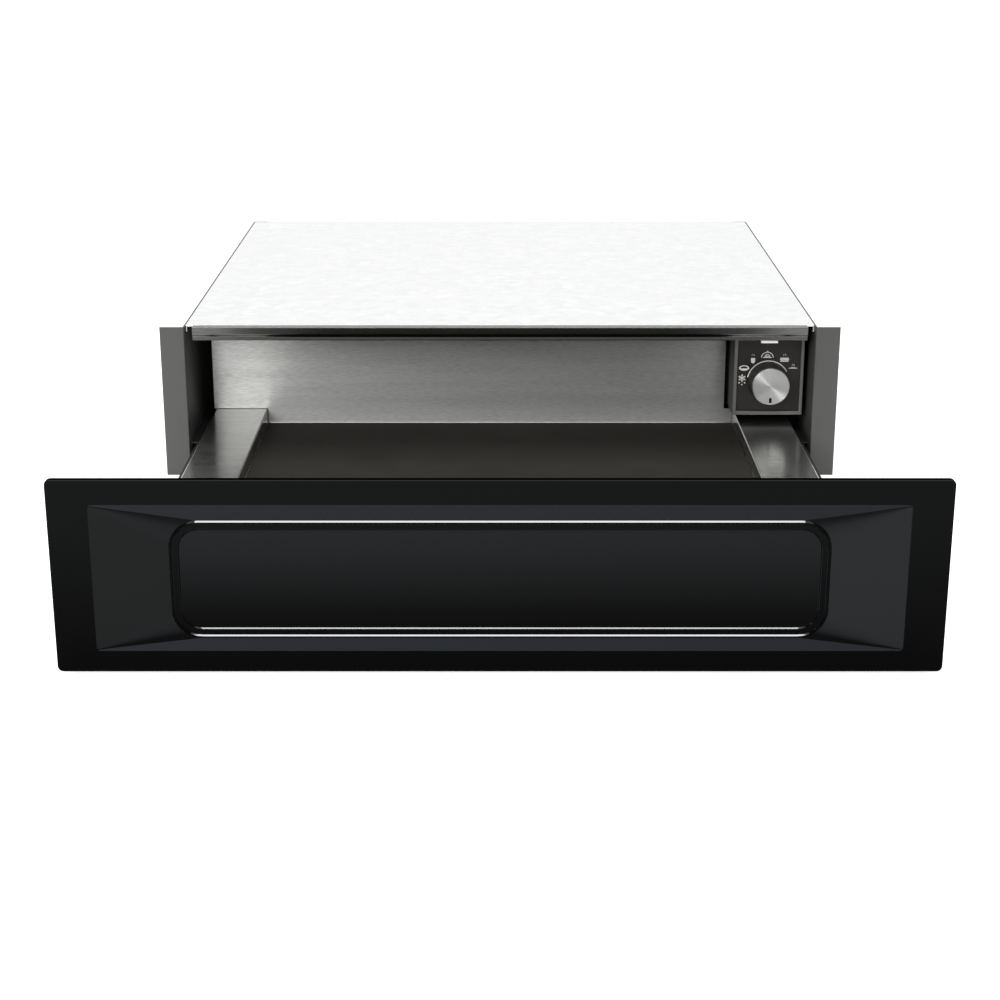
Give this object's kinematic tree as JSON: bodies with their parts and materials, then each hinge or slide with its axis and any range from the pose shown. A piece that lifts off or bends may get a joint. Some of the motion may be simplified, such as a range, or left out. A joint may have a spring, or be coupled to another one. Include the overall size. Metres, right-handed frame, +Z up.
{
  "type": "built in warming drawer",
  "caption": "Built-in warming drawer for a tall kitchen unit, shown pulled open: black pressed front, stainless steel tray on telescopic runners, control box with dial in the carcass.",
  "frame": {"origin": "middle of the carcass's footprint, on the underside of its base", "axes": "+X to the right seen from the front, +Y into the cabinet along the drawer's closing direction, +Z up"},
  "size_m": [0.597, 0.9751, 0.1376],
  "materials": {
    "black_enamel": "high gloss black enamel on pressed sheet",
    "case_paint": "satin grey paint on sheet steel",
    "rail_paint": "satin dark grey paint",
    "zinc_sheet": "zinc coated sheet steel",
    "brushed_steel": "brushed stainless steel",
    "runner_steel": "bright zinc plated",
    "screw_steel": "zinc plated",
    "mat": "matt dark anti-slip mat",
    "buffer_rubber": "soft black rubber",
    "bezel": "satin grey",
    "fascia": "fine matt dark brown-grey with printed symbols",
    "pale_lens": "milky translucent lens",
    "pale_plastic": "heat resistant pale moulding",
    "dark_plastic": "fine matt black moulding",
    "knob_metal": "spun and anodised face",
    "element_sheath": "heat tinted steel sheath",
    "reflector": "bright rolled sheet",
    "loom_sleeve": "glass fibre sleeving, matt"
  },
  "bodies": {
    "carcass": {"left_side_panel": "case_paint", "right_side_panel": "case_paint", "base_panel": "zinc_sheet", "top_panel": "zinc_sheet", "rear_panel": "zinc_sheet", "top_front_rail": "rail_paint", "left_runner_outer": "runner_steel", "right_runner_outer": "runner_steel", "left_runner_screw_1": "screw_steel", "left_runner_screw_2": "screw_steel", "right_runner_screw_1": "screw_steel", "right_runner_screw_2": "screw_steel", "control_bezel": "bezel", "control_box_housing": "case_paint", "control_fascia": "fascia", "indicator_lens": "pale_lens", "indicator_lamp": "pale_plastic", "thermostat": "pale_plastic", "heating_element": "element_sheath", "heat_reflector": "reflector", "front_element_support": "zinc_sheet", "rear_element_support": "zinc_sheet", "thermal_cutout": "dark_plastic", "terminal_block": "pale_plastic", "terminal_cover": "dark_plastic", "cable_gland": "dark_plastic", "gland_nut": "dark_plastic", "wiring_loom": "loom_sleeve", "latch_body": "dark_plastic", "latch_screw_1": "screw_steel", "latch_screw_2": "screw_steel"},
    "drawer": {"front_panel": "black_enamel", "panel_back_plate": "zinc_sheet", "panel_stiffener": "zinc_sheet", "left_lower_buffer": "buffer_rubber", "left_upper_buffer": "buffer_rubber", "right_lower_buffer": "buffer_rubber", "right_upper_buffer": "buffer_rubber", "left_front_bracket": "zinc_sheet", "right_front_bracket": "zinc_sheet", "left_front_screw_1": "screw_steel", "left_front_screw_2": "screw_steel", "right_front_screw_1": "screw_steel", "right_front_screw_2": "screw_steel", "left_tray_side": "brushed_steel", "right_tray_side": "brushed_steel", "tray_front_wall": "brushed_steel", "tray_rear_wall": "brushed_steel", "tray_floor": "brushed_steel", "anti_slip_mat": "mat", "left_runner_inner": "runner_steel", "right_runner_inner": "runner_steel", "latch_striker": "zinc_sheet"},
    "left_middle_runner": {"left_runner_middle": "runner_steel"},
    "right_middle_runner": {"right_runner_middle": "runner_steel"},
    "knob": {"knob_skirt": "dark_plastic", "knob_cap": "knob_metal", "knob_shaft": "screw_steel"},
    "plunger": {"latch_plunger": "pale_plastic"}
  },
  "joints": [
    {"name": "drawer_slide", "type": "slide", "parent": "carcass", "child": "drawer", "axis": [0, 1, 0], "range_m": [0, 0.4225]},
    {"name": "left_runner_slide", "type": "slide", "parent": "carcass", "child": "left_middle_runner", "axis": [0, 1, 0], "range_m": [0, 0.21125]},
    {"name": "right_runner_slide", "type": "slide", "parent": "carcass", "child": "right_middle_runner", "axis": [0, 1, 0], "range_m": [0, 0.21125]},
    {"name": "knob_turn", "type": "hinge", "parent": "carcass", "child": "knob", "pos_m": [0.2401, -0.239, 0.0784], "axis": [0, 1, 0], "range_deg": [0, 240]},
    {"name": "latch_press", "type": "slide", "parent": "carcass", "child": "plunger", "axis": [0, 1, 0], "range_m": [0, 0.005], "stiffness_N_per_m": 300, "springref_m": -0.004}
  ],
  "couplings": [
    {"joint": "left_runner_slide", "follows": "drawer_slide", "ratio": 0.5},
    {"joint": "right_runner_slide", "follows": "drawer_slide", "ratio": 0.5}
  ]
}
